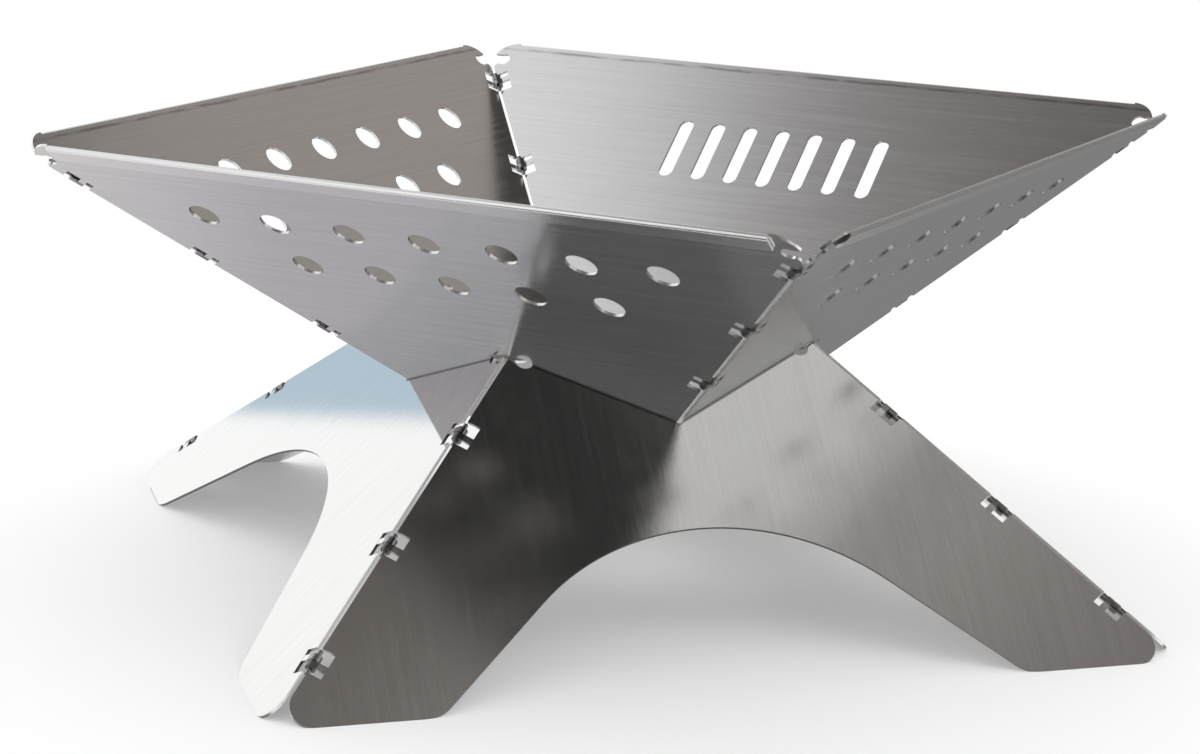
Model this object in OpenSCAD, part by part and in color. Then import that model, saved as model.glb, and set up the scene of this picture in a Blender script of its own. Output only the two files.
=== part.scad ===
// Folding fire pit made of eight flat steel panels.
// Four panels form the fire basket, a square pyramid standing on its point.
// Four more form the stand, the same pyramid upright and turned by an eighth of a turn.
// The basket drops into the V-shaped cuts at the top of the stand.
// Every edge has three short hinges, so that both halves lift apart and fold flat.
// Millimetres, +Z up, origin on the floor under the middle of the stand.

/* [Overall] */
// Width of the square rim, and of the stand at the floor, across the flats
rim_w = 450; // [420:5:480]
// Slope of every panel above the floor, in degrees
slope = 42.5; // [41:0.5:44]
// Height at which the planes of the four basket panels would meet
basket_z = 33; // [28:1:38]
// Width of the square opening at the bottom of the basket
throat_w = 70; // [50:2:90]

/* [Sheet] */
// Thickness of the sheet
sheet_t = 1.5; // [1.2:0.1:1.7]
// Gap between the stand's top edges and the basket that rests on them
seat_gap = 0.05; // [0.05:0.01:0.2]

/* [Hinges] */
// Radius of the hinge pins
pin_r = 1.2; // [1.1:0.05:1.3]
// Running clearance around a pin, on the radius
pin_gap = 0.05; // [0.03:0.01:0.08]
// Distance of the first hinge from the wide end, along the edge
hinge_first = 40; // [38:1:46]
// Distance from hinge to hinge along the edge
hinge_pitch = 75; // [65:1:80]
// Length of the window around a hinge, along the edge
window_l = 15; // [14:0.5:17]
// Depth of the window in each panel, from the hinge line
window_d = 7.5; // [7:0.5:9]
// Width of a rolled tongue
knuckle_l = 3.6; // [3:0.2:4.4]
// Gap between two tongues on a pin
knuckle_gap = 0.4; // [0.3:0.1:0.6]
// Free length at each end of a pin inside its window
pin_short = 0.3; // [0.2:0.1:1]
// Distance of a panel's edge from the hinge line
edge_gap = 0.25; // [0.2:0.05:0.6]
// Clearance inside the open hooks of the loose corner, on the radius
hook_gap = 0.3; // [0.3:0.05:0.4]
// Angle at which an open hook ends, counted from the panel's plane
hook_end = 215; // [205:1:225]

/* [Rim] */
// Height of the folded hem on the outside of the rim
hem_h = 9.5; // [8.5:0.5:12]
// Space between the hem's flap and the panel
hem_gap = 0.2; // [0.1:0.05:0.6]
// Distance from the rim's corner to the end of the hem
hem_end = 25; // [23:0.5:28]
// Distance from the rim's corner to the tip of the beak beside the hem
beak_end = 12; // [11:0.5:14]
// Height of the beak
beak_h = 9.5; // [8.5:0.5:10]
// Height of the mouth between the beak and the lobe under it
mouth_h = 7; // [6:0.5:7.5]
// Radius of the round notch inside the mouth
notch_r = 4; // [3.8:0.1:4.5]
// Distance from the rim's corner to the middle of the notch
notch_end = 19; // [18:0.5:20]
// Radius of the lobe under the mouth
lobe_r = 2.5; // [2:0.1:3]

/* [Vents] */
// Diameter of the vent holes
vent_d = 16.5; // [12:0.5:20]
// Distance from hole to hole in a row
vent_pitch = 43.3; // [40:0.1:46]
// Distance of the upper row below the rim, along the panel
row_1 = 48; // [44:1:52]
// Distance of the lower row below the rim, along the panel
row_2 = 85; // [80:1:90]
// Width of the upright slots in the back panel
slot_w = 9; // [7:0.5:11]
// Length of the upright slots
slot_l = 42; // [36:1:46]
// Distance from slot to slot
slot_pitch = 21; // [18:0.5:24]
// Distance of the middle of the slots below the rim, along the panel
slot_row = 66; // [60:1:70]
// Length of the leaf-shaped opening over the tip of each ridge
leaf_l = 24; // [20:0.5:28]
// Height of that opening
leaf_h = 7.5; // [6:0.5:9]

/* [Stand] */
// Height of the arch between the feet, along the panel
arch_h = 93; // [86:1:98]
// Radius of the top of the arch
arch_r = 125; // [115:1:135]
// Slope of the arch's straight sides, in degrees
flank = 44.2; // [42:0.1:46]
// Radius where the arch meets a foot
foot_in_r = 20; // [16:1:30]
// Radius of the outer corner of a foot
foot_out_r = 11; // [8:0.5:12]
// Length of the scallop beside the tip of each ridge
scallop_l = 9.5; // [9:0.5:12]
// Depth of that scallop
scallop_d = 3.75; // [3:0.25:4.25]
// Distance of the scallop from the tip, along the cut edge
scallop_at = 3; // [2:0.5:5]

/* [Hidden] */
$fn = 64;
// Half of the width, and length of a panel from the point to its wide end
half_w = rim_w / 2;
panel_l = half_w / cos(slope);
// Half of the angle at a panel's point, and length of its hinge line
half_apex = atan(cos(slope));
edge_l = panel_l / cos(half_apex);
// Height of the stand's point
stand_z = half_w * tan(slope);
// Inner and outer face of the sheet, measured outwards from the plane of the hinge lines
bore_r = pin_r + pin_gap;
face_in = bore_r;
face_out = bore_r + sheet_t;
// Sharp corner between a hinge line and the wide end
corner = 90 - half_apex;
// Steel colours
steel = [0.72, 0.72, 0.73];
pin_steel = [0.62, 0.62, 0.63];
// Hinges on one edge
hinges = [0, 1, 2];
pin_l = window_l - 2 * pin_short;
// Overlap of a tongue with its panel, and how far its faces lie inside the panel's faces
root = 1;
thin = 0.05;
// Start of a tongue's flat part beside the pin, and angle at which an open hook leaves it
strip_at = sheet_t / 4;
hook_start = 60;
// Long enough to pass right through anything here
far = 2 * rim_w;

// Rim sizes seen from the middle of the panel
hem_half = half_w - hem_end;
hem_r = sheet_t + hem_gap / 2;
hem_mid = face_out + hem_gap / 2;
beak_l = hem_end - beak_end;
beak_r = (beak_l * beak_l + beak_h * beak_h) / (2 * beak_h);
notch_u = half_w - notch_end;
lobe_s = panel_l - beak_h - mouth_h;
throat_s = throat_w / 2 / tan(half_apex);

// Tip of a stand ridge on the outer face of a basket panel
tip_y = (face_out + cos(slope) * (stand_z - basket_z)) / (sin(slope) * (1 + sqrt(0.5)));
tip_z = stand_z - tip_y * tan(slope) * sqrt(0.5);
leaf_s = tip_y * cos(slope) + (tip_z - basket_z) * sin(slope);
leaf_r = (leaf_l * leaf_l / 4 + leaf_h * leaf_h / 4) / leaf_h;

// Stand panel: foot line, arch and the line of the V-shaped cut in the middle of the sheet
foot_s = (stand_z + face_out * cos(slope)) / sin(slope);
arch_z = arch_h - arch_r;
arch_u = arch_r * sin(flank);
arch_v = arch_z + arch_r * cos(flank);
toe_u = arch_u + arch_v / tan(flank);
toe_t = foot_in_r * tan(flank / 2);
vee_u = sin(slope) * sqrt(0.5);
vee_s = sin(slope) * cos(slope) * (1 + sqrt(0.5));
vee_w = cos(slope) * cos(slope) - sin(slope) * sin(slope) * sqrt(0.5);
vee_c = (stand_z - basket_z) * cos(slope) + face_out + seat_gap + vee_w * (face_in + face_out) / 2;
vee_a = atan(vee_u / vee_s);
horn_s = (vee_c + vee_u * edge_gap / cos(half_apex)) / (vee_s + vee_u * tan(half_apex));
scallop_r = (scallop_l * scallop_l / 4 + scallop_d * scallop_d) / (2 * scallop_d);
scallop_m = scallop_at + scallop_l / 2;
scallop_o = scallop_r - scallop_d;

// Sideways reach of a panel's edge at a distance from the point
function edge_u(s) = s * tan(half_apex) - edge_gap / cos(half_apex);
// Place of a hinge on its edge, counted from the point
function hinge_x(k) = edge_l - hinge_first - hinge_pitch * k;

// Panel frame to the place of basket panel i: front, right, back, left
module basket_place(i) {
  translate([0, 0, basket_z])
    rotate([0, 0, 90 * i])
      rotate([180 - slope, 0, 0])
        children();
}

// Panel frame to the place of stand panel i: front right, back right, back left, front left
module stand_place(i) {
  translate([0, 0, stand_z])
    rotate([0, 0, 225 + 90 * i])
      rotate([-slope, 0, 0])
        children();
}

// X along a panel's hinge line, away from the point; Y into the panel
module at_edge(side) {
  if (side > 0)
    rotate([0, 0, corner])
      children();
  else
    mirror([1, 0, 0])
      rotate([0, 0, corner])
        children();
}

// Trapezoid between two distances from the point, its wide corners rounded
module rounded_panel(s0, s1, r) {
  reach = edge_u(s1);
  cut = r / tan(corner / 2);
  side_u = reach - cut * sin(half_apex);
  side_s = s1 - cut * cos(half_apex);
  polygon([
    [-edge_u(s0), s0],
    [edge_u(s0), s0],
    [side_u, side_s],
    [reach - cut, s1],
    [cut - reach, s1],
    [-side_u, side_s]
  ]);
  for (m = [-1, 1])
    translate([m * (reach - cut), s1 - r])
      circle(r = r);
}

// Windows around the hinges of both edges
module windows() {
  for (side = [-1, 1], k = hinges)
    at_edge(side)
      translate([hinge_x(k) - window_l / 2, -window_d])
        square([window_l, 2 * window_d]);
}

// Flat part of a tongue, from the roll into the panel
module strip() {
  translate([0, strip_at, face_in + thin])
    cube([knuckle_l, window_d + root - strip_at, sheet_t - 2 * thin]);
}

// Tongue rolled around the pin, X along the pin and Y into the panel
module closed_tongue() {
  difference() {
    union() {
      rotate([0, 90, 0])
        cylinder(r = face_out, h = knuckle_l);
      strip();
    }
    translate([-root, 0, 0])
      rotate([0, 90, 0])
        cylinder(r = bore_r, h = knuckle_l + 2 * root);
  }
}

// Tongue rolled part of the way, so that the pin can leave it towards the panel
module open_tongue() {
  rotate([90, 0, 90])
    linear_extrude(knuckle_l)
      intersection() {
        difference() {
          circle(r = face_out);
          circle(r = pin_r + hook_gap);
        }
        polygon([
          [0, 0],
          [2 * face_out * cos(hook_start), 2 * face_out * sin(hook_start)],
          [-2 * face_out, 2 * face_out],
          [-2 * face_out, -2 * face_out * tan(hook_end)]
        ]);
      }
  strip();
}

// The three tongues of one edge
module tongues(side, is_open) {
  shift = side > 0 ? knuckle_gap / 2 : -knuckle_gap / 2 - knuckle_l;
  for (k = hinges)
    at_edge(side)
      translate([hinge_x(k) + shift, 0, 0]) {
        if (is_open)
          open_tongue();
        else
          closed_tongue();
      }
}

// Hem folded outwards and down
module hem_profile() {
  translate([panel_l - hem_r, hem_mid])
    difference() {
      circle(r = hem_r);
      circle(r = hem_gap / 2);
      translate([-2 * hem_r, -2 * hem_r])
        square([2 * hem_r, 4 * hem_r]);
    }
  translate([panel_l - hem_h, face_out + hem_gap])
    square([hem_h - hem_r, sheet_t]);
}

// A row of round vents across the middle of the panel
module vent_row(count, below) {
  for (j = [0 : count - 1])
    translate([(j - (count - 1) / 2) * vent_pitch, panel_l - below])
      circle(d = vent_d);
}

// Upright round-ended slots in the middle of the back panel
module slot_row_cut() {
  for (j = [-3 : 3])
    translate([j * slot_pitch, panel_l - slot_row]) {
      square([slot_w, slot_l - slot_w], center = true);
      for (m = [-1, 1])
        translate([0, m * (slot_l - slot_w) / 2])
          circle(d = slot_w);
    }
}

// Leaf-shaped opening where the tip of a ridge meets the panel
module leaf_cut() {
  translate([0, leaf_s])
    intersection() {
      translate([0, leaf_r - leaf_h / 2])
        circle(r = leaf_r);
      translate([0, leaf_h / 2 - leaf_r])
        circle(r = leaf_r);
    }
}

// Beak beside the hem: its top edge bends down to the tip on one arc
module beak(m) {
  intersection() {
    translate([m * hem_half, panel_l - beak_r])
      circle(r = beak_r);
    translate([m > 0 ? hem_half : -hem_half - beak_l, panel_l - beak_h])
      square([beak_l, beak_h]);
  }
}

// Flat shape of a basket panel
module basket_flat(is_back) {
  difference() {
    union() {
      rounded_panel(throat_s, lobe_s, lobe_r);
      translate([-notch_u, lobe_s - root])
        square([2 * notch_u, panel_l - hem_r - lobe_s + root]);
      for (m = [-1, 1])
        beak(m);
    }
    for (m = [-1, 1])
      translate([m * notch_u, lobe_s + mouth_h / 2])
        circle(r = notch_r);
    windows();
    leaf_cut();
    if (is_back) {
      slot_row_cut();
    } else {
      vent_row(7, row_1);
      vent_row(5, row_2);
    }
  }
}

// Basket panel in its own frame
module basket_panel(is_back, hook) {
  translate([0, 0, face_in])
    linear_extrude(sheet_t)
      basket_flat(is_back);
  translate([-hem_half, 0, 0])
    rotate([90, 0, 90])
      linear_extrude(2 * hem_half)
        hem_profile();
  tongues(1, false);
  tongues(-1, hook);
}

// Opening under the arch between two feet
module arch_cut() {
  translate([0, foot_s])
    mirror([0, 1]) {
      intersection() {
        translate([0, arch_z])
          circle(r = arch_r, $fn = 2 * $fn);
        translate([-arch_r, arch_v])
          square([2 * arch_r, arch_r]);
      }
      difference() {
        polygon([
          [toe_u + toe_t, -root],
          [toe_u + toe_t, 0],
          [toe_u - toe_t * cos(flank), toe_t * sin(flank)],
          [arch_u, arch_v],
          [-arch_u, arch_v],
          [-toe_u + toe_t * cos(flank), toe_t * sin(flank)],
          [-toe_u - toe_t, 0],
          [-toe_u - toe_t, -root]
        ]);
        for (m = [-1, 1])
          translate([m * (toe_u + toe_t), foot_in_r])
            circle(r = foot_in_r);
      }
    }
}

// Scallops in the cut edges, next to the tips of the ridges
module scallops() {
  for (m = [-1, 1])
    translate([
      m * (edge_u(horn_s) - scallop_m * cos(vee_a) - scallop_o * sin(vee_a)),
      horn_s + scallop_m * sin(vee_a) - scallop_o * cos(vee_a)
    ])
      circle(r = scallop_r);
}

// Flat shape of a stand panel, still without its V-shaped cut
module stand_flat() {
  difference() {
    rounded_panel(horn_s / 2, foot_s, foot_out_r);
    arch_cut();
    scallops();
    windows();
  }
}

// Everything on the inner side of a basket panel's outer face
module inner_side(i) {
  basket_place(i)
    translate([-far / 2, -far / 2, face_out + seat_gap - far])
      cube([far, far, far]);
}

// Stand panel in its place, cut to the basket and to the floor
module stand_panel(i, hook) {
  difference() {
    stand_place(i) {
      translate([0, 0, face_in])
        linear_extrude(sheet_t)
          stand_flat();
      tongues(1, false);
      tongues(-1, hook);
    }
    intersection() {
      inner_side(i);
      inner_side(i + 1);
    }
    translate([-far / 2, -far / 2, -far])
      cube([far, far, far]);
  }
}

// Hinge pin on one edge of a panel
module pin_at(side, k) {
  color(pin_steel)
    at_edge(side)
      translate([hinge_x(k) - pin_l / 2, 0, 0])
        rotate([0, 90, 0])
          cylinder(r = pin_r, h = pin_l);
}

module basket_front() {
  color(steel) basket_place(0) basket_panel(false, false);
}

module basket_right() {
  color(steel) basket_place(1) basket_panel(false, false);
}

module basket_back() {
  color(steel) basket_place(2) basket_panel(true, true);
}

module basket_left() {
  color(steel) basket_place(3) basket_panel(false, false);
}

module stand_front_right() {
  color(steel) stand_panel(0, false);
}

module stand_back_right() {
  color(steel) stand_panel(1, true);
}

module stand_back_left() {
  color(steel) stand_panel(2, false);
}

module stand_front_left() {
  color(steel) stand_panel(3, false);
}

// Pins of the basket: front left, back left, back right and front right edge
module basket_pin_fl(k) {
  basket_place(0) pin_at(-1, k);
}

module basket_pin_bl(k) {
  basket_place(3) pin_at(-1, k);
}

module basket_pin_br(k) {
  basket_place(1) pin_at(1, k);
}

module basket_pin_fr(k) {
  basket_place(0) pin_at(1, k);
}

// Pins of the stand: front, right, back and left ridge
module stand_pin_front(k) {
  stand_place(3) pin_at(-1, k);
}

module stand_pin_right(k) {
  stand_place(0) pin_at(-1, k);
}

module stand_pin_back(k) {
  stand_place(2) pin_at(1, k);
}

module stand_pin_left(k) {
  stand_place(3) pin_at(1, k);
}

basket_front();
basket_left();
basket_back();
basket_right();
stand_front_left();
stand_front_right();
stand_back_right();
stand_back_left();
basket_pin_fl(0);  // basket_pin_fl_1
basket_pin_fl(1);  // basket_pin_fl_2
basket_pin_fl(2);  // basket_pin_fl_3
basket_pin_bl(0);  // basket_pin_bl_1
basket_pin_bl(1);  // basket_pin_bl_2
basket_pin_bl(2);  // basket_pin_bl_3
basket_pin_br(0);  // basket_pin_br_1
basket_pin_br(1);  // basket_pin_br_2
basket_pin_br(2);  // basket_pin_br_3
basket_pin_fr(0);  // basket_pin_fr_1
basket_pin_fr(1);  // basket_pin_fr_2
basket_pin_fr(2);  // basket_pin_fr_3
stand_pin_front(0);  // stand_pin_front_1
stand_pin_front(1);  // stand_pin_front_2
stand_pin_front(2);  // stand_pin_front_3
stand_pin_right(0);  // stand_pin_right_1
stand_pin_right(1);  // stand_pin_right_2
stand_pin_right(2);  // stand_pin_right_3
stand_pin_back(0);  // stand_pin_back_1
stand_pin_back(1);  // stand_pin_back_2
stand_pin_back(2);  // stand_pin_back_3
stand_pin_left(0);  // stand_pin_left_1
stand_pin_left(1);  // stand_pin_left_2
stand_pin_left(2);  // stand_pin_left_3
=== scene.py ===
"""Brushed steel finishes and a small studio for a folding fire pit of eight hinged panels."""

import math

import bpy
import numpy as np
from mathutils import Matrix, Vector

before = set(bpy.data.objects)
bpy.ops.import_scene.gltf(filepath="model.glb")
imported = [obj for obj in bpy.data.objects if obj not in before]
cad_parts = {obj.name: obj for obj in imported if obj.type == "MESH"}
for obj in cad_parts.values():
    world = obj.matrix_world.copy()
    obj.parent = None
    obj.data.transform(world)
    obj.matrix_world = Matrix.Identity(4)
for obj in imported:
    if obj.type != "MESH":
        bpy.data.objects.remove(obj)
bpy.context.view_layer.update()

bl_info = {
    "name": "Folding fire pit",
    "version": (1, 0, 0),
    "blender": (4, 5, 0),
    "location": "View3D > Sidebar > Fire pit",
    "description": "Gives the panels and pins of a folding fire pit their steel and sets up a studio",
    "category": "Object",
}

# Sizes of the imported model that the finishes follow, in metres and radians
SLOPE = math.radians(42.5)
HALF_W = 0.225
PANEL_L = HALF_W / math.cos(SLOPE)
BASKET_Z = 0.033
STAND_Z = HALF_W * math.tan(SLOPE)
SHEET_IN = 0.00125
SHEET_OUT = 0.00275
SKIN = 0.0001
DARK_LINE_DROP = 0.0044
DARK_LINE_WAVER = 0.0016
HALF_APEX = math.atan(math.cos(SLOPE))
EDGE_L = PANEL_L / math.cos(HALF_APEX)
HINGE_FIRST = 0.040
HINGE_PITCH = 0.075
HINGE_LAST = 2
WINDOW_HALF = 0.0075
SIDE_BAND = 0.008

# Turns about the upright axis, in degrees: from a panel to the next, and of the first stand panel
QUARTER_TURN = 90
STAND_TURN = 225

# Noise: scale on the vector given, detail and roughness
FINE_NOISE = (1.0, 3.0, 0.6)
BROAD_NOISE = (1.0, 4.0, 0.6)
WAVER_NOISE = (30.0, 3.0, 0.6)
SMUDGE_STRETCH = (60, 300, 300)
PIN_NOISE = (900.0, 3.0, 0.6)
FLOOR_NOISE = (3.0, 3.0, 0.5)
CLOUD_DETAIL = 5.0
CLOUD_ROUGHNESS = 0.6
PANEL_CLOUD = 16.0
PIN_CLOUD = 120.0

# Noise levels between which a mask rises, and the shares of fine lines and streaks in the grain
TONE_SPAN = (0.32, 0.68)
STREAK_SPAN = (0.42, 0.7)
CLOUD_SPAN = (0.5, 0.72)
SMUDGE_SPAN = (0.36, 0.6, 0.15, 1.0)
FINE_SHARE = 0.65
BROAD_SHARE = 0.35

# Parts of the half thickness, and of the outer face's height, between which edges and tongues show,
# and the width in metres of a line that is given none
EDGE_SPAN = (0.98, 0.8)
ROLL_SPAN = (1.25, 0.8)
PLAIN_WIDTH = 0.001

# Places of the colour sockets in a Mix node
MIX_FIRST = 6
MIX_SECOND = 7
MIX_RESULT = 2

# Finish of each half: darkest grain and cut edges as shares of the steel's colour,
# steps of roughness in streaks and on edges, and the strength of the brushing. The cut edges' colour
# is painted light: a painted highlight on the basket's edges and painted shade on the stand's.
BASKET_LOOK = {"dark": 0.93, "edge": 1.12, "streak_step": 0.06, "edge_step": 0.12, "depth": 0.09}
STAND_LOOK = {"dark": 0.95, "edge": 0.35, "streak_step": 0.03, "edge_step": 0.38, "depth": 0.2}

# Shares of the steel's colour and steps of roughness that both halves have
GRAIN_LIGHT = 1.05
# Cut edges along the hinged sides: a painted highlight
SIDE_EDGE_HIGHLIGHT = 1.4
# Rolled tongues: painted shade inside the hinge curls
TONGUE_PAINTED_SHADE = 0.4
# Dark line below the rim on the inner face
DARK_LINE_SHADE = 0.5
# Hem's roll: a painted highlight
HEM_HIGHLIGHT = 1.1
# Seat line: a painted contact shadow where the stand meets the basket
SEAT_PAINTED_SHADOW = 0.3
PIN_SHADE = 0.75
GRAIN_STEP = -0.04
CLOUD_STEP = 0.035
HEM_STEP = 0.06
BRUSH_HEIGHT = 0.0002
PIN_ROUGH = 0.2
PIN_STEP = 0.12

# Floor: lighter clouds, shine, and the distances over which it fades to white from a first share
FLOOR_LIGHT = 1.02
FLOOR_ROUGH = 0.8
FLOOR_SHINE = 0.1
FLOOR_FADE = (0.3, 0.9, 0.2, 1.0)
FLOOR_STEPS = 8

BASKET_PANELS = ("basket_front", "basket_right", "basket_back", "basket_left")
STAND_PANELS = ("stand_front_right", "stand_back_right", "stand_back_left", "stand_front_left")
# How deep each stand panel is brushed; the front left one is nearly a mirror
STAND_BRUSH = (1.0, 1.0, 1.0, 0.25)
PIN_NAMES = sorted(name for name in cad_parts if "_pin_" in name)

PHOTO_SIZE = (1200, 754)
SENSOR_WIDTH = 36.0
CLIP = (0.05, 60.0)


class FirePitFinish(bpy.types.PropertyGroup):
    """Colours and grain of the steel."""

    basket_tint: bpy.props.FloatVectorProperty(
        name="Basket steel", description="Mirror colour of the basket panels",
        subtype="COLOR", size=3, min=0, max=1, default=(0.66, 0.655, 0.645))
    stand_tint: bpy.props.FloatVectorProperty(
        name="Stand steel", description="Mirror colour of the stand panels",
        subtype="COLOR", size=3, min=0, max=1, default=(0.67, 0.668, 0.66))
    # Darker than the panels' steel: the pins' colour paints the shade inside the curls around them
    pin_tint_and_shade: bpy.props.FloatVectorProperty(
        name="Pin steel", description="Mirror colour of the hinge pins",
        subtype="COLOR", size=3, min=0, max=1, default=(0.34, 0.335, 0.33))
    basket_polish: bpy.props.FloatProperty(
        name="Basket roughness", description="Mean roughness of the basket's brushed faces",
        subtype="FACTOR", min=0, max=1, default=0.16)
    stand_polish: bpy.props.FloatProperty(
        name="Stand roughness", description="Mean roughness of the stand's brushed faces",
        subtype="FACTOR", min=0, max=1, default=0.19)
    line_width: bpy.props.FloatProperty(
        name="Grain width", description="Width of one brushed line",
        unit="LENGTH", min=0.0001, default=0.0003)
    line_length: bpy.props.FloatProperty(
        name="Grain length", description="Length of one brushed line",
        unit="LENGTH", min=0.001, default=0.11)
    streak_width: bpy.props.FloatProperty(
        name="Streak width", description="Width of the broad streaks in the brushing",
        unit="LENGTH", min=0.0001, default=0.003)
    streak_length: bpy.props.FloatProperty(
        name="Streak length", description="Length of the broad streaks in the brushing",
        unit="LENGTH", min=0.001, default=0.08)
    # Width of the painted contact shadow where the stand meets the basket
    seat_shadow_width: bpy.props.FloatProperty(
        name="Seat line", description="Width of the dark line where the stand meets the basket",
        unit="LENGTH", min=0, default=0.0014)
    # Width of the dark, wavering line drawn below the rim on the inner face
    dark_line_width: bpy.props.FloatProperty(
        name="Crease", description="Width of the fold's press mark inside the rim",
        unit="LENGTH", min=0, default=0.0016)


class FirePitStudio(bpy.types.PropertyGroup):
    """Camera, floor and light."""

    camera_turn: bpy.props.FloatProperty(
        name="Camera turn", description="Angle of the view around the part",
        subtype="ANGLE", default=math.radians(29.62))
    camera_rise: bpy.props.FloatProperty(
        name="Camera rise", description="Angle of the view above the floor",
        subtype="ANGLE", default=math.radians(13.86))
    camera_roll: bpy.props.FloatProperty(
        name="Camera roll", description="Tilt of the picture",
        subtype="ANGLE", default=math.radians(0.951))
    camera_far: bpy.props.FloatProperty(
        name="Camera distance", description="Distance from the lens to the aim point",
        unit="LENGTH", min=0.1, default=1.669)
    aim_side: bpy.props.FloatProperty(
        name="Aim sideways", description="Aim point, to the right of the middle",
        unit="LENGTH", default=-0.0097)
    aim_height: bpy.props.FloatProperty(
        name="Aim height", description="Aim point above the floor",
        unit="LENGTH", default=0.1)
    lens: bpy.props.FloatProperty(
        name="Lens", description="Focal length for a 36 mm wide sensor",
        subtype="DISTANCE_CAMERA", min=1, default=93.3)
    floor_tint: bpy.props.FloatVectorProperty(
        name="Floor", description="Colour of the floor",
        subtype="COLOR", size=3, min=0, max=1, default=(0.9, 0.9, 0.9))
    floor_reach: bpy.props.FloatProperty(
        name="Floor size", description="Half of the floor's width",
        unit="LENGTH", min=1, default=6.0)
    fill: bpy.props.FloatProperty(
        name="Room light", description="Strength of the even light from all round",
        subtype="FACTOR", min=0, max=2, default=1.0)


# Softboxes: name, place, point they face, width, height and brightness of their face
SOFTBOXES = (
    ("softbox_left", (-2.2, 0.6, 1.6), (0, 0, 0), 1.8, 1.8, 1.6),
    ("softbox_right", (2.2, -0.4, 1.8), (0, 0, 0), 1.6, 1.6, 1.4),
    ("softbox_back", (0.2, 2.4, 1.9), (0, 0, 0), 2.2, 1.4, 1.2),
)

# Height of the cards that lie on the floor, in metres
CARD_LIFT = 0.0003

# Cards that only mirror in the steel: name, corner, two edges, and stops along the first edge,
# each a distance in metres and a colour
CARDS = (
    ("card_top", (-2.2, -1.4, 2.05), (4.2, 0, 0), (0, 2.8, 0), (
        (0.0, (1.2, 1.2, 1.22)), (0.9, (1.05, 1.05, 1.07)), (1.13, (0.8, 0.8, 0.82)),
        (1.25, (0.48, 0.47, 0.49)), (1.4, (0.32, 0.305, 0.31)), (1.7, (0.19, 0.176, 0.168)),
        (2.4, (0.15, 0.137, 0.128)), (2.9, (0.15, 0.133, 0.123)), (3.05, (0.24, 0.226, 0.215)),
        (3.18, (0.52, 0.51, 0.5)), (3.25, (0.46, 0.445, 0.43)), (3.32, (0.36, 0.34, 0.325)),
        (3.42, (0.245, 0.225, 0.215)), (3.55, (0.21, 0.191, 0.184)))),
    ("card_back", (-0.6, 2.6, 1.0), (0, 0, 3.4), (2.6, 0, 0), (
        (0.0, (0.41, 0.38, 0.36)), (1.5, (0.41, 0.38, 0.36)), (1.9, (0.05, 0.05, 0.05)))),
    ("card_front", (-0.9, -2.8, 0.0), (0, 0, 3.8), (5.4, 0, 0), (
        (0.0, (0.03, 0.03, 0.03)), (1.2, (0.04, 0.04, 0.04)), (1.9, (0.15, 0.15, 0.155)),
        (2.35, (0.26, 0.262, 0.272)), (2.5, (0.24, 0.242, 0.252)), (2.6, (0.13, 0.132, 0.138)),
        (2.72, (0.085, 0.087, 0.091)), (2.85, (0.085, 0.087, 0.091)))),
    ("card_low", (-0.2, -2.8, CARD_LIFT), (2.8, 0, 0), (0, 2.4, 0), ((0.0, (0.03, 0.03, 0.03)),)),
    ("card_low_left", (-3.0, -1.6, CARD_LIFT), (2.2, 0, 0), (0, 1.7, 0), (
        (0.0, (0.47, 0.48, 0.51)), (1.4, (0.48, 0.49, 0.52)), (1.85, (0.66, 0.675, 0.725)),
        (2.2, (0.71, 0.725, 0.775)))),
    ("card_low_mid", (-0.8, -0.45, CARD_LIFT), (0.36, 0, 0), (0, 0.5, 0), ((0.0, (0.71, 0.72, 0.77)),)),
    ("card_hem", (-2.6, -2.79, 0.0), (1.68, 0, 0), (0, 0, 2.4), ((0.0, (1.25, 1.25, 1.25)),)),
    ("card_left", (-2.38, -0.07, 0.05), (0.6, 0.988, 0), (0, 0, 1.5), ((0.0, (1.28, 1.285, 1.285)),)),
    ("card_blue", (-1.782, 0.92, 0.05), (0.58, 0.95, 0), (0, 0, 1.5), ((0.0, (0.6, 0.75, 0.865)),)),
    # Painted shadow: a darker sheet on the floor behind the part, seen only in the steel, where the
    # floor lies in its shade
    ("card_shadow_behind", (-0.5, 0.2, CARD_LIFT), (2.7, 0, 0), (0, 2.38, 0), ((0.0, (0.25, 0.25, 0.255)),)),
    ("card_rim_left", (-1.37, 2.59, 0.0), (0.97, 0, 0), (0, 0, 1.9), ((0.0, (0.25, 0.255, 0.255)),)),
    ("card_rim_right", (0.55, 2.58, 0.0), (1.65, 0, 0), (0, 0, 2.2), ((0.0, (0.25, 0.255, 0.255)),)),
    # Painted shadow: darker sheets on the floor under and beside the part, seen only in the steel
    ("card_shadow_under", (0.0, -0.2, CARD_LIFT), (0.16, 0, 0), (0, 0.12, 0), ((0.0, (0.17, 0.17, 0.175)),)),
    ("card_shade", (-0.42, -0.2, CARD_LIFT), (0.4, 0, 0), (0, 0.17, 0), (
        (0.0, (0.8, 0.77, 0.79)), (0.1, (0.7, 0.67, 0.71)), (0.18, (0.58, 0.56, 0.6)),
        (0.4, (0.5, 0.49, 0.52)))),
    ("card_right", (2.4, -0.9, 0.2), (0, 0, 1.6), (0, 2.0, 0), (
        (0.0, (1.15, 1.15, 1.13)), (0.75, (1.15, 1.15, 1.13)), (1.0, (0.5, 0.5, 0.49)))),
)


def place_matrix(height, turn, tilt):
    """Turn about the panel's own X, then about the upright axis, then lift to the point."""
    return (Matrix.Translation((0, 0, height)) @ Matrix.Rotation(turn, 4, "Z")
            @ Matrix.Rotation(tilt, 4, "X"))


def basket_frame(i):
    """Frame of basket panel i: X along the rim, Y up the panel from its point, Z outwards."""
    return place_matrix(BASKET_Z, math.radians(QUARTER_TURN * i), math.pi - SLOPE)


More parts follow.
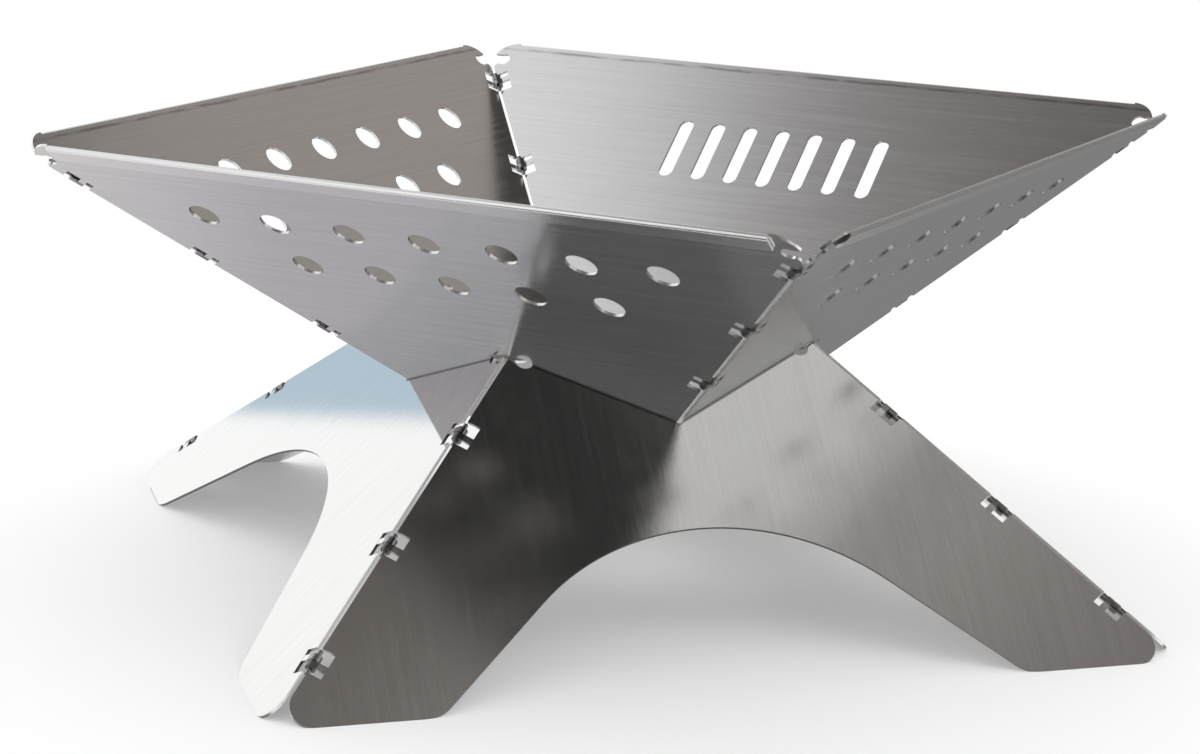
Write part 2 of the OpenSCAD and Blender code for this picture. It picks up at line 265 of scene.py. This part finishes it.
def stand_frame(i):
    """Frame of stand panel i: X across the panel, Y down it from its point, Z outwards."""
    return place_matrix(STAND_Z, math.radians(STAND_TURN + QUARTER_TURN * i), -SLOPE)


# Node helpers
def new_group(name, inputs, outputs):
    """Empty shader group with named sockets, and its two end nodes."""
    group = bpy.data.node_groups.new(name, "ShaderNodeTree")
    for label, kind, value in inputs:
        socket = group.interface.new_socket(label, in_out="INPUT", socket_type=kind)
        socket.default_value = value
    for label, kind in outputs:
        group.interface.new_socket(label, in_out="OUTPUT", socket_type=kind)
    return group, group.nodes.new("NodeGroupInput"), group.nodes.new("NodeGroupOutput")


def math_node(tree, operation, *values, clamp=False):
    """Math node whose inputs are numbers or sockets; gives its output socket."""
    node = tree.nodes.new("ShaderNodeMath")
    node.operation = operation
    node.use_clamp = clamp
    for socket, value in zip(node.inputs, values):
        if isinstance(value, (int, float)):
            socket.default_value = value
        else:
            tree.links.new(value, socket)
    return node.outputs[0]


def ramp_node(tree, value, low, high, to_low=0.0, to_high=1.0):
    """Smooth step of a value from low to high."""
    node = tree.nodes.new("ShaderNodeMapRange")
    node.interpolation_type = "SMOOTHSTEP"
    for label, item in (("Value", value), ("From Min", low), ("From Max", high),
                        ("To Min", to_low), ("To Max", to_high)):
        if isinstance(item, (int, float)):
            node.inputs[label].default_value = item
        else:
            tree.links.new(item, node.inputs[label])
    return node.outputs["Result"]


def noise_node(tree, vector, scale, detail, roughness):
    """Noise texture on a vector socket; gives its value socket."""
    node = tree.nodes.new("ShaderNodeTexNoise")
    node.inputs["Scale"].default_value = scale
    node.inputs["Detail"].default_value = detail
    node.inputs["Roughness"].default_value = roughness
    tree.links.new(vector, node.inputs["Vector"])
    return node.outputs[0]


def stretch_node(tree, vector, factor):
    """Vector times a stretch, given as three numbers or a socket."""
    node = tree.nodes.new("ShaderNodeVectorMath")
    node.operation = "MULTIPLY"
    tree.links.new(vector, node.inputs[0])
    if isinstance(factor, (tuple, list)):
        node.inputs[1].default_value = factor
    else:
        tree.links.new(factor, node.inputs[1])
    return node.outputs[0]


def brushed_grain_group():
    """Brushed lines: fine noise stretched along the grain, and broad streaks stretched the same way."""
    group, start, end = new_group(
        "brushed_grain",
        (("Vector", "NodeSocketVector", (0, 0, 0)), ("Fine", "NodeSocketVector", (1, 1, 1)),
         ("Broad", "NodeSocketVector", (1, 1, 1))),
        (("Tone", "NodeSocketFloat"), ("Streak", "NodeSocketFloat"), ("Height", "NodeSocketFloat")))
    place = start.outputs["Vector"]
    fine = noise_node(group, stretch_node(group, place, start.outputs["Fine"]), *FINE_NOISE)
    broad = noise_node(group, stretch_node(group, place, start.outputs["Broad"]), *BROAD_NOISE)
    tone = math_node(group, "ADD", math_node(group, "MULTIPLY", fine, FINE_SHARE),
                     math_node(group, "MULTIPLY", broad, BROAD_SHARE))
    group.links.new(ramp_node(group, tone, *TONE_SPAN), end.inputs["Tone"])
    group.links.new(ramp_node(group, broad, *STREAK_SPAN), end.inputs["Streak"])
    group.links.new(fine, end.inputs["Height"])
    return group


def handling_group():
    """Faint clouds left by handling: soft noise, kept where it is high."""
    group, start, end = new_group(
        "handling_marks",
        (("Vector", "NodeSocketVector", (0, 0, 0)), ("Scale", "NodeSocketFloat", PANEL_CLOUD)),
        (("Mask", "NodeSocketFloat"),))
    node = group.nodes.new("ShaderNodeTexNoise")
    node.inputs["Detail"].default_value = CLOUD_DETAIL
    node.inputs["Roughness"].default_value = CLOUD_ROUGHNESS
    group.links.new(start.outputs["Vector"], node.inputs["Vector"])
    group.links.new(start.outputs["Scale"], node.inputs["Scale"])
    group.links.new(ramp_node(group, node.outputs[0], *CLOUD_SPAN), end.inputs["Mask"])
    return group


def cut_edge_group():
    """Cut edges: points between the two faces of the sheet, by their depth in the panel frame."""
    group, start, end = new_group(
        "cut_edge",
        (("Vector", "NodeSocketVector", (0, 0, 0)),),
        (("Mask", "NodeSocketFloat"),))
    split = group.nodes.new("ShaderNodeSeparateXYZ")
    group.links.new(start.outputs["Vector"], split.inputs[0])
    middle = (SHEET_IN + SHEET_OUT) / 2
    half = (SHEET_OUT - SHEET_IN) / 2
    off = math_node(group, "ABSOLUTE", math_node(group, "SUBTRACT", split.outputs["Z"], middle))
    rise = (half * part for part in EDGE_SPAN)
    group.links.new(ramp_node(group, off, *rise), end.inputs["Mask"])
    return group


def rim_dark_line_group():
    """A wavering, broken dark line below the rim on the inner face only."""
    group, start, end = new_group(
        "rim_dark_line",
        (("Vector", "NodeSocketVector", (0, 0, 0)), ("Width", "NodeSocketFloat", PLAIN_WIDTH)),
        (("Mask", "NodeSocketFloat"),))
    split = group.nodes.new("ShaderNodeSeparateXYZ")
    group.links.new(start.outputs["Vector"], split.inputs[0])
    waver = noise_node(group, start.outputs["Vector"], *WAVER_NOISE)
    mean = PANEL_L - DARK_LINE_DROP + DARK_LINE_WAVER / 2
    line = math_node(group, "MULTIPLY_ADD", waver, -DARK_LINE_WAVER, mean)
    off = math_node(group, "ABSOLUTE", math_node(group, "SUBTRACT", split.outputs["Y"], line))
    near = ramp_node(group, off, start.outputs["Width"], 0.0)
    drawn = stretch_node(group, start.outputs["Vector"], SMUDGE_STRETCH)
    smudge = noise_node(group, drawn, *BROAD_NOISE)
    near = math_node(group, "MULTIPLY", near, ramp_node(group, smudge, *SMUDGE_SPAN))
    inside = math_node(group, "LESS_THAN", split.outputs["Z"], SHEET_IN + SKIN)
    group.links.new(math_node(group, "MULTIPLY", near, inside), end.inputs["Mask"])
    return group


def fold_group():
    """Folded metal in the panel frame: rolled tongues near a hinge line inside a window, the hem
    outside, and a band along the hinged sides. With h half the angle at the panel's point, the depth
    from a side is Y sin h - |X| cos h and the place along it is Y cos h + |X| sin h."""
    group, start, end = new_group(
        "fold",
        (("Vector", "NodeSocketVector", (0, 0, 0)),),
        (("Tongue", "NodeSocketFloat"), ("Hem", "NodeSocketFloat"), ("Side", "NodeSocketFloat")))
    split = group.nodes.new("ShaderNodeSeparateXYZ")
    group.links.new(start.outputs["Vector"], split.inputs[0])
    wide = math_node(group, "ABSOLUTE", split.outputs["X"])
    sine = math.sin(HALF_APEX)
    cosine = math.cos(HALF_APEX)
    depth = math_node(group, "SUBTRACT", math_node(group, "MULTIPLY", split.outputs["Y"], sine),
                      math_node(group, "MULTIPLY", wide, cosine))
    place = math_node(group, "ADD", math_node(group, "MULTIPLY", split.outputs["Y"], cosine),
                      math_node(group, "MULTIPLY", wide, sine))
    last = (EDGE_L - HINGE_FIRST) / HINGE_PITCH
    steps = math_node(group, "MULTIPLY_ADD", place, -1 / HINGE_PITCH, last)
    nearest = math_node(group, "ROUND", steps)
    nearest = math_node(group, "MINIMUM", math_node(group, "MAXIMUM", nearest, 0.0), HINGE_LAST)
    off = math_node(group, "ABSOLUTE", math_node(group, "SUBTRACT", steps, nearest))
    inside = math_node(group, "LESS_THAN", off, WINDOW_HALF / HINGE_PITCH)
    rolled = ramp_node(group, depth, *(SHEET_OUT * part for part in ROLL_SPAN))
    group.links.new(math_node(group, "MULTIPLY", inside, rolled), end.inputs["Tongue"])
    group.links.new(ramp_node(group, depth, SIDE_BAND, SIDE_BAND / 2), end.inputs["Side"])
    hem = ramp_node(group, split.outputs["Z"], SHEET_OUT + SKIN, SHEET_OUT + 3 * SKIN)
    group.links.new(hem, end.inputs["Hem"])
    return group


def seat_shadow_group():
    """Painted contact shadow: a dark line where a stand panel's outer face meets the basket. The outer
    faces of the two panels cross in the line a |X| + b Y + c = 0, with a, b and c from the turn between
    their frames."""
    group, start, end = new_group(
        "seat_shadow_line",
        (("Vector", "NodeSocketVector", (0, 0, 0)), ("Width", "NodeSocketFloat", PLAIN_WIDTH)),
        (("Mask", "NodeSocketFloat"),))
    turn = basket_frame(0).inverted() @ stand_frame(0)
    size = math.hypot(turn[2][0], turn[2][1])
    shift = turn[2][2] * SHEET_OUT + turn[2][3] - SHEET_OUT
    split = group.nodes.new("ShaderNodeSeparateXYZ")
    group.links.new(start.outputs["Vector"], split.inputs[0])
    wide = math_node(group, "ABSOLUTE", split.outputs["X"])
    across = math_node(group, "MULTIPLY", wide, abs(turn[2][0]) / size)
    along = math_node(group, "MULTIPLY_ADD", split.outputs["Y"], turn[2][1] / size, shift / size)
    off = math_node(group, "ABSOLUTE", math_node(group, "ADD", across, along))
    group.links.new(ramp_node(group, off, start.outputs["Width"], 0.0), end.inputs["Mask"])
    return group


def shared_group(name):
    """Group of that name, built once."""
    makers = {"brushed_grain": brushed_grain_group, "handling_marks": handling_group,
              "cut_edge": cut_edge_group, "rim_dark_line": rim_dark_line_group, "fold": fold_group,
              "seat_shadow_line": seat_shadow_group}
    return bpy.data.node_groups.get(name) or makers[name]()


def place_group(tree, name, **links):
    """Group node in a material; its inputs are sockets or plain values."""
    node = tree.nodes.new("ShaderNodeGroup")
    node.node_tree = shared_group(name)
    for label, value in links.items():
        if isinstance(value, bpy.types.NodeSocket):
            tree.links.new(value, node.inputs[label])
        else:
            node.inputs[label].default_value = value
    return node


def panel_vector(tree, matrix):
    """Object coordinates seen from a panel's own frame."""
    coords = tree.nodes.new("ShaderNodeTexCoord")
    mapping = tree.nodes.new("ShaderNodeMapping")
    mapping.vector_type = "TEXTURE"
    mapping.inputs["Location"].default_value = matrix.to_translation()
    mapping.inputs["Rotation"].default_value = matrix.to_euler()
    tree.links.new(coords.outputs["Object"], mapping.inputs["Vector"])
    return mapping.outputs[0]


def mix_colour(tree, mask, first, second):
    """Colour mix by a mask; the two ends are colours or sockets."""
    node = tree.nodes.new("ShaderNodeMix")
    node.data_type = "RGBA"
    tree.links.new(mask, node.inputs["Factor"])
    for socket, value in ((node.inputs[MIX_FIRST], first), (node.inputs[MIX_SECOND], second)):
        if isinstance(value, bpy.types.NodeSocket):
            tree.links.new(value, socket)
        else:
            socket.default_value = (*value, 1.0)
    return node.outputs[MIX_RESULT]


def shade(tint, factor):
    """Colour times a factor, kept inside the range."""
    return tuple(min(1.0, channel * factor) for channel in tint)


def stretch_of(width, length, along_rim):
    """Noise scales for lines of a width and length, along X on the basket and Y on the stand."""
    return (1 / length, 1 / width, 1 / width) if along_rim else (1 / width, 1 / length, 1 / width)


def steel_material(name, matrix, tint, polish, finish, along_rim, brush=1.0):
    """Brushed steel in a panel's frame: grain, handling clouds, cut edges and folds, with a dark line
    below the rim on the basket and a painted contact shadow along the seat on the stand. The cut edges,
    tongues and hem carry painted highlight and painted shade. A brush below 1 leaves the panel smoother."""
    material = bpy.data.materials.new(name)
    material.use_nodes = True
    tree = material.node_tree
    shader = tree.nodes["Principled BSDF"]
    look = BASKET_LOOK if along_rim else STAND_LOOK
    vector = panel_vector(tree, matrix)
    grain = place_group(tree, "brushed_grain", Vector=vector,
                        Fine=stretch_of(finish.line_width, finish.line_length, along_rim),
                        Broad=stretch_of(finish.streak_width, finish.streak_length, along_rim))
    marks = place_group(tree, "handling_marks", Vector=vector, Scale=PANEL_CLOUD)
    edge = place_group(tree, "cut_edge", Vector=vector)
    fold = place_group(tree, "fold", Vector=vector)
    colour = mix_colour(tree, grain.outputs["Tone"], shade(tint, look["dark"]), shade(tint, GRAIN_LIGHT))
    # Cut edges: a painted highlight near the hinged sides, and elsewhere a painted highlight on the
    # basket and painted shade on the stand
    edge_light_and_shade = mix_colour(tree, fold.outputs["Side"], shade(tint, look["edge"]), shade(tint, SIDE_EDGE_HIGHLIGHT))
    colour = mix_colour(tree, edge.outputs["Mask"], colour, edge_light_and_shade)
    # Painted shade in the rolled tongues around the pins
    colour = mix_colour(tree, fold.outputs["Tongue"], colour, shade(tint, TONGUE_PAINTED_SHADE))
    rough = math_node(tree, "MULTIPLY_ADD", grain.outputs["Tone"], GRAIN_STEP * brush, polish * brush)
    rough = math_node(tree, "MULTIPLY_ADD", grain.outputs["Streak"], look["streak_step"] * brush, rough)
    rough = math_node(tree, "MULTIPLY_ADD", marks.outputs["Mask"], CLOUD_STEP * brush, rough)
    rough = math_node(tree, "MULTIPLY_ADD", edge.outputs["Mask"], look["edge_step"], rough)
    if along_rim:
        # Dark, wavering line below the rim on the inner face
        dark_line = place_group(tree, "rim_dark_line", Vector=vector, Width=finish.dark_line_width)
        colour = mix_colour(tree, dark_line.outputs["Mask"], colour, shade(tint, DARK_LINE_SHADE))
        # Painted highlight on the hem's roll
        colour = mix_colour(tree, fold.outputs["Hem"], colour, shade(tint, HEM_HIGHLIGHT))
        rough = math_node(tree, "MULTIPLY_ADD", fold.outputs["Hem"], HEM_STEP, rough)
    else:
        # Painted contact shadow where the stand meets the basket
        seat = place_group(tree, "seat_shadow_line", Vector=vector, Width=finish.seat_shadow_width)
        colour = mix_colour(tree, seat.outputs["Mask"], colour, shade(tint, SEAT_PAINTED_SHADOW))
    tree.links.new(colour, shader.inputs["Base Color"])
    tree.links.new(rough, shader.inputs["Roughness"])
    shader.inputs["Metallic"].default_value = 1.0
    bump = tree.nodes.new("ShaderNodeBump")
    bump.inputs["Strength"].default_value = look["depth"] * brush ** 2
    bump.inputs["Distance"].default_value = BRUSH_HEIGHT
    tree.links.new(grain.outputs["Height"], bump.inputs["Height"])
    tree.links.new(bump.outputs["Normal"], shader.inputs["Normal"])
    return material


def pin_material(finish):
    """Drawn wire: fine noise in the roughness and small darker clouds."""
    material = bpy.data.materials.new("pin_wire")
    material.use_nodes = True
    tree = material.node_tree
    shader = tree.nodes["Principled BSDF"]
    coords = tree.nodes.new("ShaderNodeTexCoord")
    grain = noise_node(tree, coords.outputs["Object"], *PIN_NOISE)
    marks = place_group(tree, "handling_marks", Vector=coords.outputs["Object"], Scale=PIN_CLOUD)
    # The pin colour carries painted shade from the curls around the pins
    colour = mix_colour(tree, marks.outputs["Mask"], finish.pin_tint_and_shade, shade(finish.pin_tint_and_shade, PIN_SHADE))
    tree.links.new(colour, shader.inputs["Base Color"])
    rough = math_node(tree, "MULTIPLY_ADD", grain, PIN_STEP, PIN_ROUGH)
    tree.links.new(rough, shader.inputs["Roughness"])
    shader.inputs["Metallic"].default_value = 1.0
    return material


def dress(name, material):
    """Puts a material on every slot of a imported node."""
    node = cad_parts.get(name)
    if node is None:
        raise RuntimeError(f"the packed model has no node {name}")
    slots = node.data.materials
    if not slots:
        slots.append(material)
    for i in range(len(slots)):
        slots[i] = material


def grid_mesh(name, corner, side_a, side_b, steps):
    """Flat grid: corner plus a times the first side plus b times the second, a and b from 0 to 1."""
    a, b = np.meshgrid(np.linspace(0, 1, steps + 1), np.linspace(0, 1, steps + 1), indexing="ij")
    points = (np.asarray(corner, float) + a[..., None] * np.asarray(side_a, float)
              + b[..., None] * np.asarray(side_b, float)).reshape(-1, 3)
    first = (np.arange(steps)[:, None] * (steps + 1) + np.arange(steps)).ravel()
    quads = np.stack((first, first + steps + 1, first + steps + 2, first + 1), axis=1)
    mesh = bpy.data.meshes.new(name)
    mesh.from_pydata(points.tolist(), [], quads.tolist())
    piece = bpy.data.objects.new(name, mesh)
    bpy.context.scene.collection.objects.link(piece)
    return piece


def glow_material(name, corner, side, stops):
    """Glow for a card: the distance along its first edge, from its corner, picks the colour."""
    material = bpy.data.materials.new(name)
    material.use_nodes = True
    tree = material.node_tree
    tree.nodes.clear()
    coords = tree.nodes.new("ShaderNodeTexCoord")
    along = tree.nodes.new("ShaderNodeVectorMath")
    along.operation = "DOT_PRODUCT"
    edge = Vector(side)
    share = edge / edge.length_squared
    tree.links.new(coords.outputs["Object"], along.inputs[0])
    along.inputs[1].default_value = share
    place = math_node(tree, "SUBTRACT", along.outputs["Value"], share.dot(Vector(corner)))
    ramp = tree.nodes.new("ShaderNodeValToRGB")
    tree.links.new(place, ramp.inputs[0])
    dots = ramp.color_ramp.elements
    dots.remove(dots[1])
    for i, (distance, colour) in enumerate(stops):
        dot = dots[0] if i == 0 else dots.new(distance / edge.length)
        dot.position = distance / edge.length
        dot.color = (*colour, 1.0)
    glow = tree.nodes.new("ShaderNodeEmission")
    tree.links.new(ramp.outputs["Color"], glow.inputs["Color"])
    end = tree.nodes.new("ShaderNodeOutputMaterial")
    tree.links.new(glow.outputs[0], end.inputs["Surface"])
    return material


def seen_rays(tree):
    """1 for rays from the camera, off polished steel or through glass, else 0."""
    path = tree.nodes.new("ShaderNodeLightPath")
    seen = math_node(tree, "ADD", path.outputs["Is Camera Ray"], path.outputs["Is Glossy Ray"])
    return math_node(tree, "ADD", seen, path.outputs["Is Transmission Ray"], clamp=True)


def floor_material(studio):
    """Pale matt floor that fades to white with the distance from the part."""
    material = bpy.data.materials.new("studio_floor")
    material.use_nodes = True
    tree = material.node_tree
    shader = tree.nodes["Principled BSDF"]
    end = tree.nodes["Material Output"]
    coords = tree.nodes.new("ShaderNodeTexCoord")
    cloud = noise_node(tree, coords.outputs["Object"], *FLOOR_NOISE)
    tree.links.new(mix_colour(tree, cloud, studio.floor_tint, shade(studio.floor_tint, FLOOR_LIGHT)),
                   shader.inputs["Base Color"])
    shader.inputs["Roughness"].default_value = FLOOR_ROUGH
    shader.inputs["Specular IOR Level"].default_value = FLOOR_SHINE
    length = tree.nodes.new("ShaderNodeVectorMath")
    length.operation = "LENGTH"
    tree.links.new(coords.outputs["Object"], length.inputs[0])
    far = ramp_node(tree, length.outputs["Value"], *FLOOR_FADE)
    white = tree.nodes.new("ShaderNodeEmission")
    mix = tree.nodes.new("ShaderNodeMixShader")
    tree.links.new(math_node(tree, "MULTIPLY", far, seen_rays(tree)), mix.inputs[0])
    tree.links.new(shader.outputs[0], mix.inputs[1])
    tree.links.new(white.outputs[0], mix.inputs[2])
    tree.links.new(mix.outputs[0], end.inputs["Surface"])
    return material


def set_world(studio):
    """White room for what is seen or mirrored, a softer fill for everything else."""
    world = bpy.data.worlds.new("studio_room")
    world.use_nodes = True
    tree = world.node_tree
    back = tree.nodes["Background"]
    back.inputs["Color"].default_value = (1, 1, 1, 1)
    strength = math_node(tree, "MULTIPLY_ADD", seen_rays(tree), 1.0 - studio.fill, studio.fill)
    tree.links.new(strength, back.inputs["Strength"])
    bpy.context.scene.world = world


def aim(place, target):
    """Turn that points the lamp's own -Z from a place to a target."""
    return (Vector(target) - Vector(place)).to_track_quat("-Z", "Y")


def add_softbox(name, place, target, width, height, glow):
    """Rectangular lamp; its power is the brightness of its face times pi times its area."""
    lamp = bpy.data.lights.new(name, "AREA")
    lamp.shape = "RECTANGLE"
    lamp.size = width
    lamp.size_y = height
    lamp.energy = math.pi * width * height * glow
    holder = bpy.data.objects.new(name, lamp)
    holder.location = place
    holder.rotation_euler = aim(place, target).to_euler()
    holder.visible_camera = False
    holder.visible_glossy = False
    bpy.context.scene.collection.objects.link(holder)


def add_card(name, corner, side_a, side_b, stops):
    """Card that shows only in the steel's reflections."""
    card = grid_mesh(name, corner, side_a, side_b, 1)
    card.data.materials.append(glow_material(name, corner, side_a, stops))
    card.visible_camera = False
    card.visible_diffuse = False
    card.visible_shadow = False
    card.visible_transmission = False


def add_camera(studio):
    """Camera on a sphere around the aim point, rolled by a small angle, framed for the photograph."""
    turn = studio.camera_turn
    rise = studio.camera_rise
    roll = studio.camera_roll
    ahead = Vector((-math.sin(turn) * math.cos(rise), math.cos(turn) * math.cos(rise), -math.sin(rise)))
    right = Vector((math.cos(turn), math.sin(turn), 0))
    up = right.cross(ahead)
    side = right * math.cos(roll) + up * math.sin(roll)
    top = up * math.cos(roll) - right * math.sin(roll)
    place = right * studio.aim_side + Vector((0, 0, studio.aim_height)) - ahead * studio.camera_far
    lens = bpy.data.cameras.new("photo_camera")
    lens.sensor_fit = "HORIZONTAL" if PHOTO_SIZE[0] >= PHOTO_SIZE[1] else "VERTICAL"
    lens.sensor_width = SENSOR_WIDTH
    lens.lens = studio.lens
    lens.clip_start = CLIP[0]
    lens.clip_end = CLIP[1]
    camera = bpy.data.objects.new("photo_camera", lens)
    axes = Matrix((side, top, -ahead)).transposed()
    camera.matrix_world = Matrix.Translation(place) @ axes.to_4x4()
    bpy.context.scene.collection.objects.link(camera)
    bpy.context.scene.camera = camera


class FIREPIT_OT_basket(bpy.types.Operator):
    """Gives the four basket panels brushed steel with the grain along the rim"""

    bl_idname = "firepit.basket"
    bl_label = "Basket panels"

    def execute(self, context):
        finish = context.scene.firepit_finish
        for i, name in enumerate(BASKET_PANELS):
            dress(name, steel_material(name + "_steel", basket_frame(i), finish.basket_tint,
                                       finish.basket_polish, finish, True))
        return {"FINISHED"}


class FIREPIT_OT_stand(bpy.types.Operator):
    """Gives the four stand panels brushed steel with the grain down the slope"""

    bl_idname = "firepit.stand"
    bl_label = "Stand panels"

    def execute(self, context):
        finish = context.scene.firepit_finish
        for i, name in enumerate(STAND_PANELS):
            dress(name, steel_material(name + "_steel", stand_frame(i), finish.stand_tint,
                                       finish.stand_polish, finish, False, STAND_BRUSH[i]))
        return {"FINISHED"}


class FIREPIT_OT_pins(bpy.types.Operator):
    """Gives the hinge pins drawn wire"""

    bl_idname = "firepit.pins"
    bl_label = "Hinge pins"

    def execute(self, context):
        wire = pin_material(context.scene.firepit_finish)
        for name in PIN_NAMES:
            dress(name, wire)
        return {"FINISHED"}


class FIREPIT_OT_studio(bpy.types.Operator):
    """Sets up the floor, the light and the camera"""

    bl_idname = "firepit.studio"
    bl_label = "Studio"

    def execute(self, context):
        studio = context.scene.firepit_studio
        reach = studio.floor_reach
        floor = grid_mesh("floor", (-reach, -reach, 0), (2 * reach, 0, 0), (0, 2 * reach, 0),
                          FLOOR_STEPS)
        floor.data.materials.append(floor_material(studio))
        for box in SOFTBOXES:
            add_softbox(*box)
        for card in CARDS:
            add_card(*card)
        set_world(studio)
        add_camera(studio)
        context.scene.view_settings.view_transform = "Standard"
        return {"FINISHED"}


class FIREPIT_PT_panel(bpy.types.Panel):
    """Lists the steps and their settings"""

    bl_idname = "FIREPIT_PT_panel"
    bl_label = "Fire pit"
    bl_space_type = "VIEW_3D"
    bl_region_type = "UI"
    bl_category = "Fire pit"

    def draw(self, context):
        for step in STEPS:
            self.layout.operator(step)
        for group in (context.scene.firepit_finish, context.scene.firepit_studio):
            box = self.layout.box()
            for label in group.__annotations__:
                box.prop(group, label)


CLASSES = (FirePitFinish, FirePitStudio, FIREPIT_OT_basket, FIREPIT_OT_stand, FIREPIT_OT_pins,
           FIREPIT_OT_studio, FIREPIT_PT_panel)
STEPS = ("firepit.basket", "firepit.stand", "firepit.pins", "firepit.studio")


def register():
    """Registers the classes and hangs the settings on the scene."""
    for item in CLASSES:
        bpy.utils.register_class(item)
    bpy.types.Scene.firepit_finish = bpy.props.PointerProperty(type=FirePitFinish)
    bpy.types.Scene.firepit_studio = bpy.props.PointerProperty(type=FirePitStudio)


def unregister():
    """Takes the settings off the scene and unregisters the classes."""
    del bpy.types.Scene.firepit_studio
    del bpy.types.Scene.firepit_finish
    for item in reversed(CLASSES):
        bpy.utils.unregister_class(item)


def main():
    """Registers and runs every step."""
    register()
    bpy.ops.firepit.basket()
    bpy.ops.firepit.stand()
    bpy.ops.firepit.pins()
    bpy.ops.firepit.studio()


if __name__ == "__main__":
    main()
